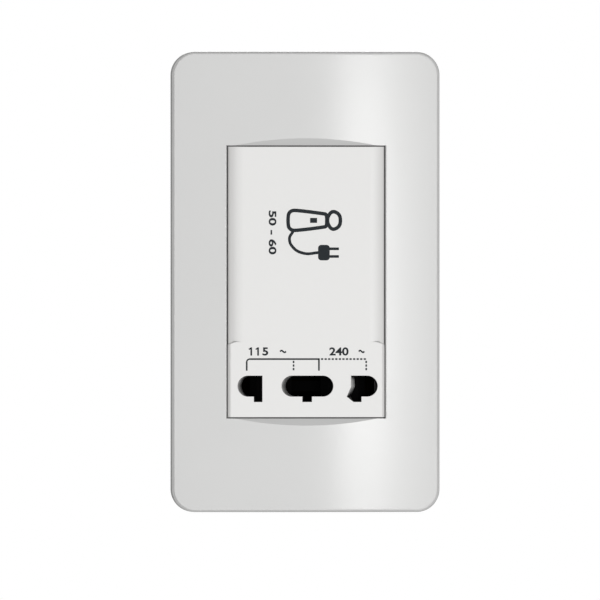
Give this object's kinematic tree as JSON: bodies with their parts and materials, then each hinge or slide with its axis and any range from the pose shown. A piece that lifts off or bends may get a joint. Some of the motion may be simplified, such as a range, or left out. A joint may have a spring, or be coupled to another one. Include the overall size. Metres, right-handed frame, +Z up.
{
  "type": "shaver socket",
  "caption": "Dual-voltage shaver supply unit with shaped pin entries, in a convex wall plate, with its transformer and shutter behind the face.",
  "frame": {"origin": "middle of the two fixing holes on the wall plane, behind the middle of the plate", "axes": "+Z up, +Y into the wall, +X to the right when looking at the face"},
  "size_m": [0.07, 0.052, 0.12],
  "materials": {
    "plate_shell": "pearl satin",
    "insert_shell": "satin",
    "frame_plastic": "matte",
    "housing_plastic": "matte",
    "carrier_plastic": "matte",
    "shutter_plastic": "matte",
    "core_steel": "varnished",
    "bobbin_plastic": "matte",
    "winding_copper": "enamelled",
    "winding_tape": "matte",
    "contact_brass": "plain",
    "spring_steel": "plain"
  },
  "bodies": {
    "socket": {"cover_plate": "plate_shell", "front_cover": "insert_shell", "mounting_frame": "frame_plastic", "rear_housing": "housing_plastic", "core_e_stack": "core_steel", "core_i_stack": "core_steel", "bobbin": "bobbin_plastic", "primary_winding": "winding_copper", "secondary_winding": "winding_copper", "primary_tape": "winding_tape", "secondary_tape": "winding_tape", "thermal_cutout": "bobbin_plastic", "contact_carrier": "carrier_plastic", "shutter_spring_left": "spring_steel", "shutter_spring_right": "spring_steel", "contact_115v": "contact_brass", "contact_common": "contact_brass", "contact_240v": "contact_brass", "plunger_spring": "spring_steel", "switch_contact_line": "contact_brass", "switch_contact_load": "contact_brass", "terminal_line": "contact_brass", "terminal_neutral": "contact_brass", "terminal_screws": "spring_steel"},
    "shutter": {"shutter": "shutter_plastic"},
    "switch_plunger": {"switch_plunger": "shutter_plastic", "bridge_contact": "contact_brass"}
  },
  "joints": [
    {"name": "shutter_slide", "type": "slide", "parent": "socket", "child": "shutter", "axis": [1, 0, 0], "range_m": [-0.00295, 0.00295], "stiffness_N_per_m": 80, "deforming": ["shutter_spring_left", "shutter_spring_right"]},
    {"name": "plunger_slide", "type": "slide", "parent": "socket", "child": "switch_plunger", "axis": [0, 1, 0], "range_m": [0, 0.0075], "stiffness_N_per_m": 100, "springref_m": -0.003, "deforming": ["plunger_spring"]}
  ]
}
